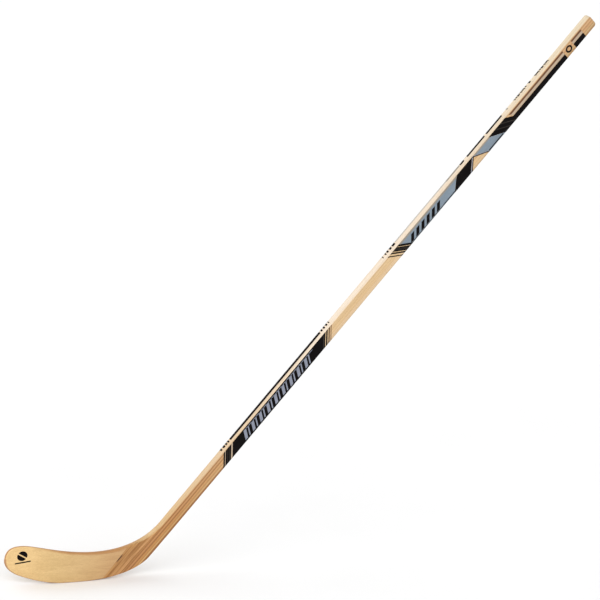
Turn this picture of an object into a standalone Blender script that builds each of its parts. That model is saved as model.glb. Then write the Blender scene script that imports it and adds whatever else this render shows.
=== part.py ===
"""Left-handed senior ice hockey stick, glued up from wood.

Five plies make the shaft: a thin one on each narrow face and three thicker ones between. Four
short plies on its front make the heel block. A saw slot runs up through the heel, and the tongue of
the blade core is glued into it, which leaves each heel ply as two cheeks. A veneer covers each face
of the blade. Nothing on the stick moves.

The stick stands in its playing pose. The origin is the middle of the flat of the sole, which lies
on z = 0. The toe points along -X, the shaft rises towards +X, and the blade curves towards +Y, its
forehand side.
"""

import math

import bmesh
import bpy

MM = 0.001

# Driving dimensions
LIE = math.radians(46.0)            # angle between the shaft and the ice
CORNER_DROP = 2.5 * MM              # the shaft's back edge, drawn on, ends this far below the sole
SHAFT_LENGTH = 1524 * MM            # along that line, from the heel corner to the butt
SHAFT_DEPTH = 30 * MM               # across the plies
SHAFT_HALF_WIDTH = 8 * MM           # half of the narrow faces
SHAFT_PLIES = 5
OUTER_PLY = 4 * MM                  # thickness of the first and last ply; the others share the rest
HEEL_PLIES = 4
HEEL_PLY = 6 * MM                   # thickness of a heel ply; the last one is sanded to the joint
EDGE_RADIUS = 3 * MM                # rounding along the shaft
BLADE_TOP_RADIUS = 4 * MM           # rounding along the top of the blade
SOLE_RADIUS = 2 * MM                # rounding along its underside
BUTT_RADIUS = 7 * MM                # rounding of the butt end
GLUE = 0.3 * MM                     # gap left for glue between neighbours

# Blade
BLADE_CURVE = 51.5 * MM             # how far the toe is bent out of the plane of the shaft
CURVE_START = 30 * MM               # where the bend starts, ahead of the heel corner
CURVE_POWER = 2.2
SOLE_MIDDLE = 147 * MM              # middle of the flat of the sole, ahead of the heel corner
TOE_TIP = 292 * MM
HEEL_END_HALF = 5.6 * MM            # half of the blade's thickness next to the heel
TOE_HALF = 3.6 * MM                 # half of its thickness at the toe
CORE_HALF = 4.0 * MM                # half of the tongue's thickness
VENEER = 1.0 * MM
VENEER_INSET = 1.8 * MM             # how far the veneers stop short of the blade's edge

# Side view: t runs ahead of the heel corner towards the toe, z is height
HEEL_CURVE = [(-38, 36.85), (-2.4, 0), (125, 0)]
INNER_CURVE = [(82, 61.5), (-20.1, 61.5), (-65, 108)]
SOLE = [(125, 0), (168, 0)]
TOE_RISE = [(168, 0), (200, 0), (236, 8.8), (262, 18.2)]
TOE_LOWER = [(262, 18.2), (277, 23.6), (292, 34), (292, 52.5)]
TOE_UPPER = [(292, 52.5), (292, 73), (281, 84), (252, 82.7)]
BLADE_TOP = [(252, 82.7), (224, 81.5), (160, 61.5), (82, 61.5)]

# Where the slot ends in the heel and where the blade faces start, as (n, s) in the shaft's frame:
# n runs from the back edge to the front, and s runs up the shaft
TONGUE_LINE = [(8, 19.2), (30, 119)]
JOINT_LINE = [(59, -41), (62.6, 34)]

# Thickness taper, along a direction halfway between the shaft's and the blade's
TAPER_DIRECTION = (0.92, -0.39)
TAPER_START = -130 * MM
TAPER_END = 40 * MM
TAPER_TOE = 245 * MM
STRAIGHT_FROM = 210 * MM            # up the shaft from here, nothing changes until the butt

# The plates that cut the heel reach past it, from below the sole to above the tongue
CUTTER_LOW = -80 * MM
CUTTER_HIGH = 160 * MM
CUTTER_FRONT = 90 * MM
CUTTER_ROWS = 30
CUTTER_COLUMNS = 24

RIM_STEPS = [0, 0.35 * MM, 1.0 * MM, 2.0 * MM, 3.2 * MM]   # where a rounded edge has its points

MATERIALS = {
    "pale_ply": ((0.84, 0.66, 0.40), 0.38),
    "core_ply": ((0.74, 0.52, 0.28), 0.40),
    "brown_ply": ((0.60, 0.37, 0.17), 0.40),
    "heel_ply": ((0.42, 0.21, 0.08), 0.38),
    "core_wood": ((0.50, 0.28, 0.12), 0.42),
    "blade_veneer": ((0.80, 0.58, 0.30), 0.34),
}


def in_metres(points):
    return [(a * MM, b * MM) for a, b in points]


def bezier(points, u):
    while len(points) > 1:
        points = [
            ((1 - u) * a[0] + u * b[0], (1 - u) * a[1] + u * b[1])
            for a, b in zip(points, points[1:])
        ]
    return points[0]


def sampled(points, count):
    points = in_metres(points)
    return [bezier(points, i / count) for i in range(count + 1)]


def to_side(n, s):
    z = n * math.cos(LIE) + s * math.sin(LIE) - CORNER_DROP
    return n * math.sin(LIE) - s * math.cos(LIE), z


def to_shaft(t, z):
    z = z + CORNER_DROP
    return t * math.sin(LIE) + z * math.cos(LIE), z * math.sin(LIE) - t * math.cos(LIE)


def butt_drop(n):
    """How far the rounded butt end falls short of the full length at depth n."""
    near = min(n, SHAFT_DEPTH - n, BUTT_RADIUS)
    return BUTT_RADIUS - math.sqrt(BUTT_RADIUS**2 - (BUTT_RADIUS - near) ** 2)


def butt_outline():
    steps = [SHAFT_DEPTH * (1 - math.cos(math.pi * i / 16)) / 2 for i in range(17)]
    return [to_side(n, SHAFT_LENGTH - butt_drop(n)) for n in steps]


HEEL = sampled(HEEL_CURVE, 24)
INNER = sampled(INNER_CURVE, 24)
UNDERSIDE = HEEL + sampled(SOLE, 4)[1:] + sampled(TOE_RISE, 14)[1:] + sampled(TOE_LOWER, 12)[1:]
TOPSIDE = INNER[::-1] + sampled(BLADE_TOP, 16)[::-1][1:] + sampled(TOE_UPPER, 14)[::-1][1:]
BUTT = butt_outline()
FRONT_EDGE = BUTT[8:] + TOPSIDE
BACK_EDGE = BUTT[8::-1] + UNDERSIDE


def segment_distance(p, a, b):
    dx, dy = b[0] - a[0], b[1] - a[1]
    along = ((p[0] - a[0]) * dx + (p[1] - a[1]) * dy) / (dx * dx + dy * dy)
    along = min(1.0, max(0.0, along))
    return math.hypot(p[0] - a[0] - along * dx, p[1] - a[1] - along * dy)


def edge_distance(p, edge):
    """Distance in the side view from a point to one edge of the stick."""
    return min(segment_distance(p, a, b) for a, b in zip(edge, edge[1:]))


def smooth(x):
    x = min(1.0, max(0.0, x))
    return x * x * (3 - 2 * x)


def taper_position(t, z):
    return TAPER_DIRECTION[0] * t + TAPER_DIRECTION[1] * z


def full_half(t, z):
    """Half of the stick's thickness away from its rounded edges."""
    g = taper_position(t, z)
    to_heel = smooth((g - TAPER_START) / (TAPER_END - TAPER_START))
    to_toe = max(0.0, min(1.0, (g - TAPER_END) / (TAPER_TOE - TAPER_END)))
    heel = SHAFT_HALF_WIDTH + (HEEL_END_HALF - SHAFT_HALF_WIDTH) * to_heel
    return heel + (TOE_HALF - HEEL_END_HALF) * to_toe


def rounding(t, z, edge, blade_radius):
    """How much thickness the rounding of one edge takes off at a point of the side view."""
    blend = smooth((taper_position(t, z) - TAPER_START) / (TAPER_END - TAPER_START))
    radius = EDGE_RADIUS + (blade_radius - EDGE_RADIUS) * blend
    radius = min(radius, full_half(t, z) - 0.5 * MM)
    inside = radius - min(edge_distance((t, z), edge), radius)
    return radius - math.sqrt(radius**2 - inside**2)


def outer_half(t, z):
    """Half thickness at a point of the side view, with the edges rounded."""
    front = rounding(t, z, FRONT_EDGE, BLADE_TOP_RADIUS)
    back = rounding(t, z, BACK_EDGE, SOLE_RADIUS)
    return full_half(t, z) - max(front, back)


def under_half(t, z):
    return -outer_half(t, z)


def core_half(t, z):
    return min(CORE_HALF, full_half(t, z) - VENEER - GLUE, outer_half(t, z))


def bend(t):
    """How far the middle of the blade is bent towards +Y."""
    along = max(0.0, (t - CURVE_START) / (TOE_TIP - CURVE_START))
    return BLADE_CURVE * along**CURVE_POWER


def world(point, offset):
    t, z = point
    return (SOLE_MIDDLE - t, bend(t) - bend(SOLE_MIDDLE) + offset, z)


def crossing(curve, alpha, beta):
    """s where the line n = alpha + beta * s meets a curve of the side view."""
    low, high = 0.0, 1.0
    points = [to_shaft(*p) for p in in_metres(curve)]

    def error(u):
        n, s = bezier(points, u)
        return n - alpha - beta * s

    rising = error(1.0) > error(0.0)
    for _ in range(60):
        middle = (low + high) / 2
        if (error(middle) > 0) == rising:
            high = middle
        else:
            low = middle
    return bezier(points, low)[1]


def add_object(name, material, vertices, faces):
    mesh = bpy.data.meshes.new(name)
    mesh.from_pydata(vertices, [], faces)
    work = bmesh.new()
    work.from_mesh(mesh)
    bmesh.ops.remove_doubles(work, verts=work.verts, dist=0.01 * MM)
    bmesh.ops.recalc_face_normals(work, faces=work.faces)
    work.to_mesh(mesh)
    work.free()
    if material:
        mesh.materials.append(material)
    piece = bpy.data.objects.new(name, mesh)
    bpy.context.collection.objects.link(piece)
    return piece


def slab(name, material, grid, upper, lower):
    """A closed plate from a grid of side-view points, between two offsets across the stick."""
    rows, columns = len(grid), len(grid[0])
    flat = [p for row in grid for p in row]
    vertices = [world(p, upper(*p)) for p in flat] + [world(p, lower(*p)) for p in flat]
    below = len(flat)
    faces = []
    for i in range(rows - 1):
        for j in range(columns - 1):
            a, b = i * columns + j, i * columns + j + 1
            c, d = b + columns, a + columns
            faces += [(a, b, c, d), (a + below, d + below, c + below, b + below)]
    top_row = list(range(columns))
    last = [i * columns + columns - 1 for i in range(1, rows)]
    bottom_row = [(rows - 1) * columns + j for j in range(columns - 2, -1, -1)]
    first = [i * columns for i in range(rows - 2, 0, -1)]
    border = top_row + last + bottom_row + first
    for a, b in zip(border, border[1:] + border[:1]):
        faces.append((b, a, a + below, b + below))
    return add_object(name, material, vertices, faces)


def rim_and_even(length, inner_count, rim=RIM_STEPS):
    """Positions from 0 to length: close together near both ends, even between them."""
    reach = min(1.0, 0.45 * length / rim[-1]) if length > 0 else 0.0
    ends = [r * reach for r in rim]
    middle = [
        ends[-1] + (length - 2 * ends[-1]) * i / inner_count for i in range(1, inner_count)
    ]
    return ends + middle + [length - e for e in reversed(ends)]


def line_through(points):
    """The line n = alpha + beta * s through two (n, s) points given in millimetres."""
    (n0, s0), (n1, s1) = in_metres(points)
    beta = (n1 - n0) / (s1 - s0)
    return n0 - beta * s0, beta


def between(left, right, fraction):
    return tuple(a + (b - a) * fraction for a, b in zip(left, right))


def ply_columns(left, right, rim_left=False, rim_right=False):
    """Lines up a ply, close together where its long edge is rounded."""
    width = right[0] - left[0]
    fractions = [0.0, 0.5, 1.0]
    if rim_left:
        fractions = [r / width for r in RIM_STEPS] + [1.0]
    if rim_right:
        fractions = [0.0] + [1 - r / width for r in reversed(RIM_STEPS)]
    return [between(left, right, f) for f in fractions]


def shaft_grid(columns):
    grid = []
    for alpha, beta in columns:
        low = crossing(HEEL_CURVE, alpha, beta)
        high = SHAFT_LENGTH - butt_drop(alpha)
        near = [low + r * 1.5 for r in RIM_STEPS]
        heel = [near[-1] + (STRAIGHT_FROM - near[-1]) * i / 16 for i in range(1, 17)]
        ends = [high - r for r in reversed(RIM_STEPS)]
        grid.append([to_side(alpha + beta * s, s) for s in near + heel + ends])
    return grid


def heel_grid(columns):
    grid = []
    for alpha, beta in columns:
        low = crossing(HEEL_CURVE, alpha, beta)
        high = crossing(INNER_CURVE, alpha, beta)
        steps = rim_and_even(high - low, 12, [r * 1.5 for r in RIM_STEPS])
        grid.append([to_side(alpha + beta * (low + x), low + x) for x in steps])
    return grid


def trimmed_chain(chain, line, inset):
    """The part of the outline ahead of a line across the heel, moved inwards by inset."""
    alpha, beta = line
    moved = []
    for before, here, after in zip([chain[0]] + chain, chain, chain[1:] + [chain[-1]]):
        dx, dy = after[0] - before[0], after[1] - before[1]
        scale = inset / math.hypot(dx, dy)
        side = 1 if chain is UNDERSIDE else -1
        moved.append((here[0] - side * dy * scale, here[1] + side * dx * scale))

    def ahead(p):
        n, s = to_shaft(*p)
        return n - alpha - beta * s

    for k, (a, b) in enumerate(zip(moved, moved[1:])):
        if ahead(a) <= 0 < ahead(b):
            f = ahead(a) / (ahead(a) - ahead(b))
            start = (a[0] + (b[0] - a[0]) * f, a[1] + (b[1] - a[1]) * f)
            return [start] + moved[k + 1:]
    return moved


def at_fraction(chain, fraction):
    lengths = [math.dist(a, b) for a, b in zip(chain, chain[1:])]
    goal = fraction * sum(lengths)
    for (a, b), length in zip(zip(chain, chain[1:]), lengths):
        if goal <= length:
            f = goal / length
            return a[0] + (b[0] - a[0]) * f, a[1] + (b[1] - a[1]) * f
        goal -= length
    return chain[-1]


def blade_grid(line, inset, columns):
    """Chords from the underside to the top, from a line across the heel to the toe."""
    under = trimmed_chain(UNDERSIDE, line, inset)
    top = trimmed_chain(TOPSIDE, line, inset)
    under[-1] = top[-1]
    grid = []
    for i in range(columns + 1):
        f = math.sin(math.pi / 2 * i / columns) * 0.35 + 0.65 * i / columns
        a, b = at_fraction(under, f), at_fraction(top, f)
        length = math.dist(a, b)
        steps = rim_and_even(length, 8)
        share = [x / length if length > 0 else 0.0 for x in steps]
        grid.append([(a[0] + (b[0] - a[0]) * x, a[1] + (b[1] - a[1]) * x) for x in share])
    return grid


def cut_slot(piece, cutter):
    cut = piece.modifiers.new("slot", "BOOLEAN")
    cut.operation = "DIFFERENCE"
    cut.object = cutter


def plate_cutter(name, line, high, low):
    """A plate across the heel, ahead of a line, to take wood away with."""
    alpha, beta = line
    grid = []
    for i in range(CUTTER_ROWS + 1):
        s = CUTTER_LOW + (CUTTER_HIGH - CUTTER_LOW) * i / CUTTER_ROWS
        start = alpha + beta * s
        steps = [start + (CUTTER_FRONT - start) * j / CUTTER_COLUMNS
                 for j in range(CUTTER_COLUMNS + 1)]
        grid.append([to_side(n, s) for n in steps])
    cutter = slab(name, None, grid, lambda t, z: high, lambda t, z: low)
    cutter.hide_render = True
    cutter.display_type = "WIRE"
    return cutter


def make_material(name):
    colour, roughness = MATERIALS[name]
    material = bpy.data.materials.new(name)
    material.use_nodes = True
    shader = material.node_tree.nodes["Principled BSDF"]
    shader.inputs["Base Color"].default_value = (*colour, 1.0)
    shader.inputs["Roughness"].default_value = roughness
    shader.inputs["Metallic"].default_value = 0.0
    return material


def ply_edges():
    """Where the shaft's plies start and end, from the back edge to the front."""
    inner = (SHAFT_DEPTH - 2 * OUTER_PLY) / (SHAFT_PLIES - 2)
    return [0.0] + [OUTER_PLY + inner * k for k in range(SHAFT_PLIES - 1)] + [SHAFT_DEPTH]


def build_shaft(cutter):
    edges = ply_edges()
    names = ["back", "second", "middle", "fourth", "front"]
    woods = ["brown_ply", "core_ply", "pale_ply", "core_ply", "pale_ply"]
    for k, (name, wood) in enumerate(zip(names, woods)):
        left = (edges[k] + (GLUE / 2 if k > 0 else 0.0), 0.0)
        right = (edges[k + 1] - (GLUE / 2 if k < SHAFT_PLIES - 1 else 0.0), 0.0)
        columns = ply_columns(left, right, k == 0, k == SHAFT_PLIES - 1)
        grid = shaft_grid(columns)
        piece = slab(f"shaft_{name}_ply", make_material(wood), grid, outer_half, under_half)
        if k > 0:
            cut_slot(piece, cutter)


def build_heel(forehand_cutter, backhand_cutter):
    joint = line_through(JOINT_LINE)
    for k in range(HEEL_PLIES):
        left = (SHAFT_DEPTH + k * HEEL_PLY + GLUE, 0.0)
        right = (SHAFT_DEPTH + (k + 1) * HEEL_PLY, 0.0)
        if k == HEEL_PLIES - 1:
            right = joint
        grid = heel_grid(ply_columns(left, right))
        for side, cutter in (("forehand", forehand_cutter), ("backhand", backhand_cutter)):
            name = f"heel_ply_{k + 1}_{side}"
            piece = slab(name, make_material("heel_ply"), grid, outer_half, under_half)
            cut_slot(piece, cutter)


def veneer_inner(t, z):
    return min(CORE_HALF + GLUE, full_half(t, z) - VENEER)


def build_blade():
    grid = blade_grid(line_through(TONGUE_LINE), 0.0, 44)
    slab("blade_core", make_material("core_wood"), grid, core_half, lambda t, z: -core_half(t, z))
    alpha, beta = line_through(JOINT_LINE)
    grid = blade_grid((alpha + GLUE, beta), VENEER_INSET, 34)
    for side, sign in (("forehand", 1), ("backhand", -1)):
        slab(
            f"blade_veneer_{side}",
            make_material("blade_veneer"),
            grid,
            lambda t, z, sign=sign: sign * outer_half(t, z),
            lambda t, z, sign=sign: sign * veneer_inner(t, z),
        )


def clear_scene():
    for item in list(bpy.data.objects):
        bpy.data.objects.remove(item, do_unlink=True)


def main():
    clear_scene()
    slot = CORE_HALF + GLUE
    alpha, beta = line_through(TONGUE_LINE)
    far = 3 * SHAFT_HALF_WIDTH
    build_shaft(plate_cutter("saw_slot", (alpha - GLUE, beta), slot, -slot))
    whole = (SHAFT_DEPTH - 2 * HEEL_PLY, 0.0)
    build_heel(
        plate_cutter("all_but_forehand", whole, slot, -far),
        plate_cutter("all_but_backhand", whole, far, -slot),
    )
    build_blade()


main()
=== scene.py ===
import math

import bmesh
import bpy
import numpy as np
from mathutils import Matrix, Vector

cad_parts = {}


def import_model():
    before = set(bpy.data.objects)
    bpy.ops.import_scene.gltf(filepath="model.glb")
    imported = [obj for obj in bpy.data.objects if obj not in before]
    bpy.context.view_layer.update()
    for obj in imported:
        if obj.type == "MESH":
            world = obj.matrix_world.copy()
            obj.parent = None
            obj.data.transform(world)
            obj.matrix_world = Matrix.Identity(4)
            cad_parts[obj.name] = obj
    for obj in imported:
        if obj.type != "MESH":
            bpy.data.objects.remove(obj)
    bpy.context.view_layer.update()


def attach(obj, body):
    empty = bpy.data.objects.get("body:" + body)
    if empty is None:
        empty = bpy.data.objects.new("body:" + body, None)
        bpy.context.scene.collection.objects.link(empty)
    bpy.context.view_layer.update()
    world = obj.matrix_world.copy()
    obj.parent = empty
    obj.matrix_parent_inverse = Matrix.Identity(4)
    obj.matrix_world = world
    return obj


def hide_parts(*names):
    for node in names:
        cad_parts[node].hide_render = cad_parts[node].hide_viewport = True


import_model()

MM = 0.001

# ---------------------------------------------------------------- dimensions, as in the CAD part
LIE = math.radians(46.0)
CORNER_DROP = 2.5 * MM              # how far below the sole the shaft's back edge, drawn on, ends
SHAFT_LENGTH = 1524 * MM
SHAFT_DEPTH = 30 * MM               # across the plies
SHAFT_HALF_WIDTH = 8 * MM
SHAFT_PLIES = 5
OUTER_PLY = 4 * MM
HEEL_PLIES = 4
HEEL_PLY = 6 * MM
EDGE_RADIUS = 3 * MM
BLADE_TOP_RADIUS = 4 * MM
SOLE_RADIUS = 2 * MM
BUTT_RADIUS = 7 * MM
GLUE = 0.3 * MM
BLADE_CURVE = 51.5 * MM             # how far the toe is bent towards the forehand side
CURVE_START = 30 * MM
CURVE_POWER = 2.2
SOLE_MIDDLE = 147 * MM
TOE_TIP = 292 * MM
HEEL_END_HALF = 5.6 * MM            # half of the blade's thickness next to the heel
TOE_HALF = 3.6 * MM                 # half of its thickness at the toe
CORE_HALF = 4.0 * MM                # half of the tongue's thickness
VENEER = 1.0 * MM
VENEER_INSET = 0.5 * MM             # finer than the CAD veneers, which stop 1.8 mm from the edge
SANDED = 0.2 * MM                   # how far the core lies under the sanded surface at its rim
TAPER_DIRECTION = (0.92, -0.39)     # in the side view, across the heel towards the blade
TAPER_START = -130 * MM
TAPER_END = 40 * MM
TAPER_TOE = 245 * MM
STRAIGHT_FROM = 210 * MM            # no more rows of points are needed up the shaft from here
SLOT_HALF = CORE_HALF + GLUE        # half of the saw slot's width
SEAM_DEPTH = 0.05 * MM              # how far the glue lies below the surface of the wood
SKIN = 0.02 * MM                    # thickness of a cheek where it runs out inside the core

# Side view of the heel and blade: t runs ahead of the heel corner to the toe, z is height, in mm
HEEL_CURVE = [(-38, 36.85), (-2.4, 0), (125, 0)]
INNER_CURVE = [(82, 61.5), (-20.1, 61.5), (-65, 108)]
SOLE = [(125, 0), (168, 0)]
TOE_RISE = [(168, 0), (200, 0), (236, 8.8), (262, 18.2)]
TOE_LOWER = [(262, 18.2), (277, 23.6), (292, 34), (292, 52.5)]
TOE_UPPER = [(292, 52.5), (292, 73), (281, 84), (252, 82.7)]
BLADE_TOP = [(252, 82.7), (224, 81.5), (160, 61.5), (82, 61.5)]

# Lines across the heel, by their depth n from the back edge and their place s up the shaft, in mm
TONGUE_LINE = [(8, 19.2), (30, 119)]
JOINT_LINE = [(59, -41), (62.6, 34)]

# Places of the points in from a rounded edge, close together where the surface turns most
RIM_STEPS = np.array([0, 0.12, 0.35, 0.7, 1.15, 1.7, 2.4, 3.2, 4.2]) * MM
HEEL_RIM = RIM_STEPS * 1.5
HEEL_ROWS = 28
BLADE_ROWS = 16
SHAFT_ROWS = 40
BUTT_STEPS = 32
MERGE_DISTANCE = 0.004 * MM
SHARP_ANGLE = math.radians(32)


# ---------------------------------------------------------------- side view and section
def bezier(points, u):
    """The point at u, from 0 to 1, of a Bezier curve of any degree."""
    while len(points) > 1:
        points = [
            ((1 - u) * a[0] + u * b[0], (1 - u) * a[1] + u * b[1])
            for a, b in zip(points, points[1:])
        ]
    return points[0]


def sampled(points, count):
    points = [(a * MM, b * MM) for a, b in points]
    return [bezier(points, i / count) for i in range(count + 1)]


def to_side(n, s):
    """Side-view t and z of a place n deep from the back edge and s up the shaft."""
    z = n * math.cos(LIE) + s * math.sin(LIE) - CORNER_DROP
    return n * math.sin(LIE) - s * math.cos(LIE), z


def to_shaft(t, z):
    """The reverse of to_side."""
    z = z + CORNER_DROP
    return t * math.sin(LIE) + z * math.cos(LIE), z * math.sin(LIE) - t * math.cos(LIE)


def butt_drop(n):
    """How much shorter the shaft is at depth n, because the butt's corners are rounded."""
    near = min(n, SHAFT_DEPTH - n, BUTT_RADIUS)
    return BUTT_RADIUS - math.sqrt(BUTT_RADIUS**2 - (BUTT_RADIUS - near) ** 2)


def butt_outline():
    turns = [math.pi * i / BUTT_STEPS for i in range(BUTT_STEPS + 1)]
    steps = [SHAFT_DEPTH * (1 - math.cos(turn)) / 2 for turn in turns]
    return [to_side(n, SHAFT_LENGTH - butt_drop(n)) for n in steps]


UNDERSIDE = (
    sampled(HEEL_CURVE, 60) + sampled(SOLE, 6)[1:] + sampled(TOE_RISE, 30)[1:]
    + sampled(TOE_LOWER, 26)[1:]
)
TOPSIDE = (
    sampled(INNER_CURVE, 60)[::-1] + sampled(BLADE_TOP, 40)[::-1][1:]
    + sampled(TOE_UPPER, 30)[::-1][1:]
)
BUTT = butt_outline()
FRONT_EDGE = BUTT[len(BUTT) // 2:] + TOPSIDE
BACK_EDGE = BUTT[len(BUTT) // 2::-1] + UNDERSIDE


def edge_distance(t, z, edge):
    """Distance in the side view from points to one edge of the stick."""
    best = np.full(np.shape(t), np.inf)
    for a, b in zip(edge, edge[1:]):
        dx, dz = b[0] - a[0], b[1] - a[1]
        along = np.clip(((t - a[0]) * dx + (z - a[1]) * dz) / (dx * dx + dz * dz), 0, 1)
        best = np.minimum(best, np.hypot(t - a[0] - along * dx, z - a[1] - along * dz))
    return best


def smooth(x):
    x = np.clip(x, 0, 1)
    return x * x * (3 - 2 * x)


def taper_position(t, z):
    return TAPER_DIRECTION[0] * t + TAPER_DIRECTION[1] * z


def full_half(t, z):
    """Half thickness between the rounded edges: even up the shaft, thinner towards the toe."""
    g = taper_position(t, z)
    to_heel = smooth((g - TAPER_START) / (TAPER_END - TAPER_START))
    to_toe = np.clip((g - TAPER_END) / (TAPER_TOE - TAPER_END), 0, 1)
    heel = SHAFT_HALF_WIDTH + (HEEL_END_HALF - SHAFT_HALF_WIDTH) * to_heel
    return heel + (TOE_HALF - HEEL_END_HALF) * to_toe


def rounding(t, z, edge, blade_radius):
    """How much the rounding of one edge takes off the half thickness."""
    blend = smooth((taper_position(t, z) - TAPER_START) / (TAPER_END - TAPER_START))
    radius = EDGE_RADIUS + (blade_radius - EDGE_RADIUS) * blend
    radius = np.minimum(radius, full_half(t, z) - 0.5 * MM)
    inside = radius - np.minimum(edge_distance(t, z, edge), radius)
    return radius - np.sqrt(radius**2 - inside**2)


def outer_half(t, z):
    """Half thickness at points of the side view, with the edges rounded."""
    front = rounding(t, z, FRONT_EDGE, BLADE_TOP_RADIUS)
    back = rounding(t, z, BACK_EDGE, SOLE_RADIUS)
    return full_half(t, z) - np.maximum(front, back)


def bend(t):
    return BLADE_CURVE * np.maximum(0, (t - CURVE_START) / (TOE_TIP - CURVE_START)) ** CURVE_POWER


MID_BEND = float(bend(SOLE_MIDDLE))
SHAFT_UP = Vector((math.cos(LIE), 0, math.sin(LIE)))
SHAFT_AHEAD = Vector((-math.sin(LIE), 0, math.cos(LIE)))


def world(t, z, offset):
    """World points of side-view points at an offset across the stick, + to the forehand."""
    return np.stack([SOLE_MIDDLE - t, bend(t) - MID_BEND + offset, z], axis=-1)


def on_shaft(s, n, offset):
    t, z = to_side(n, s)
    return Vector((SOLE_MIDDLE - t, offset - MID_BEND, z))


def crossing(curve, alpha, beta):
    """s where the line n = alpha + beta * s meets a curve of the side view."""
    points = [to_shaft(a * MM, b * MM) for a, b in curve]
    low, high = 0.0, 1.0

    def error(u):
        n, s = bezier(points, u)
        return n - alpha - beta * s

    rising = error(1.0) > error(0.0)
    for _ in range(60):
        middle = (low + high) / 2
        if (error(middle) > 0) == rising:
            high = middle
        else:
            low = middle
    return bezier(points, low)[1]


# ---------------------------------------------------------------- meshes
def add_piece(name, mesh, material, replaced=()):
    piece = bpy.data.objects.new(name, mesh)
    bpy.context.scene.collection.objects.link(piece)
    if material:
        mesh.materials.append(material)
        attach(piece, "root")
    if replaced:
        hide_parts(*replaced)
    return piece


def finish_mesh(mesh):
    work = bmesh.new()
    work.from_mesh(mesh)
    bmesh.ops.remove_doubles(work, verts=work.verts, dist=MERGE_DISTANCE)
    bmesh.ops.recalc_face_normals(work, faces=work.faces)
    work.to_mesh(mesh)
    work.free()
    mesh.shade_smooth()
    mesh.set_sharp_from_angle(angle=SHARP_ANGLE)
    return mesh


def slab_mesh(name, grid, upper, lower):
    """A closed plate from rows of side-view points, between two offsets across the stick."""
    t = np.array([[p[0] for p in row] for row in grid])
    z = np.array([[p[1] for p in row] for row in grid])
    rows, columns = t.shape
    top = world(t, z, upper(t, z)).reshape(-1, 3)
    base = world(t, z, lower(t, z)).reshape(-1, 3)
    below = rows * columns
    faces = []
    for i in range(rows - 1):
        for j in range(columns - 1):
            a, b = i * columns + j, i * columns + j + 1
            c, d = b + columns, a + columns
            faces += [(a, b, c, d), (a + below, d + below, c + below, b + below)]
    border = list(range(columns))
    border += [i * columns + columns - 1 for i in range(1, rows)]
    border += [(rows - 1) * columns + j for j in range(columns - 2, -1, -1)]
    border += [i * columns for i in range(rows - 2, 0, -1)]
    for a, b in zip(border, border[1:] + border[:1]):
        faces.append((b, a, a + below, b + below))
    mesh = bpy.data.meshes.new(name)
    mesh.from_pydata(np.concatenate([top, base]).tolist(), [], faces)
    return finish_mesh(mesh)


def under_half(t, z):
    return -outer_half(t, z)


def line_through(points):
    """alpha and beta of the line n = alpha + beta * s through two points in mm."""
    (n0, s0), (n1, s1) = [(a * MM, b * MM) for a, b in points]
    beta = (n1 - n0) / (s1 - s0)
    return n0 - beta * s0, beta


def ply_edges():
    inner = (SHAFT_DEPTH - 2 * OUTER_PLY) / (SHAFT_PLIES - 2)
    return [0.0] + [OUTER_PLY + inner * k for k in range(SHAFT_PLIES - 1)] + [SHAFT_DEPTH]


def ply_columns(left, right, rim_left=False, rim_right=False):
    """Lines up a ply, close together where its long edge is rounded."""
    width = right[0] - left[0]
    rims = [r for r in RIM_STEPS if r < width - 0.4 * MM]
    fractions = [0.0, 1.0] if width < MM else [0.0, 0.33, 0.67, 1.0]
    if rim_left:
        fractions = [r / width for r in rims] + [1.0]
    if rim_right:
        fractions = [0.0] + [1 - r / width for r in reversed(rims)]
    return [(left[0] + (right[0] - left[0]) * f, left[1] + (right[1] - left[1]) * f)
            for f in fractions]


def shaft_grid(columns):
    grid = []
    for alpha, beta in columns:
        low = crossing(HEEL_CURVE, alpha, beta)
        high = SHAFT_LENGTH - butt_drop(alpha)
        near = [low + r for r in HEEL_RIM]
        gap = STRAIGHT_FROM - near[-1]
        heel = [near[-1] + gap * i / SHAFT_ROWS for i in range(1, SHAFT_ROWS + 1)]
        ends = [high - r for r in reversed(RIM_STEPS)]
        grid.append([to_side(alpha + beta * s, s) for s in near + heel + ends])
    return grid


def heel_grid(columns):
    grid = []
    for alpha, beta in columns:
        low = crossing(HEEL_CURVE, alpha, beta)
        high = crossing(INNER_CURVE, alpha, beta)
        steps = rim_and_even(high - low, HEEL_ROWS, HEEL_RIM)
        grid.append([to_side(alpha + beta * (low + x), low + x) for x in steps])
    return grid


def rim_and_even(length, inner_count, rim):
    """Places along a length: the rim's steps at both ends and even steps between them."""
    reach = min(1.0, 0.45 * length / rim[-1]) if length > 0 else 0.0
    ends = [r * reach for r in rim]
    gap = length - 2 * ends[-1]
    middle = [ends[-1] + gap * i / inner_count for i in range(1, inner_count)]
    return ends + middle + [length - e for e in reversed(ends)]


def trimmed_chain(chain, line, inset):
    """The part of the outline ahead of a line across the heel, moved inwards by inset."""
    alpha, beta = line
    side = 1 if chain is UNDERSIDE else -1
    moved = []
    for before, here, after in zip([chain[0]] + chain, chain, chain[1:] + [chain[-1]]):
        dx, dz = after[0] - before[0], after[1] - before[1]
        scale = side * inset / math.hypot(dx, dz)
        moved.append((here[0] - dz * scale, here[1] + dx * scale))

    def ahead(p):
        n, s = to_shaft(*p)
        return n - alpha - beta * s

    for k, (a, b) in enumerate(zip(moved, moved[1:])):
        if ahead(a) <= 0 < ahead(b):
            f = ahead(a) / (ahead(a) - ahead(b))
            start = (a[0] + (b[0] - a[0]) * f, a[1] + (b[1] - a[1]) * f)
            return [start] + moved[k + 1:]
    return moved


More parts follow.
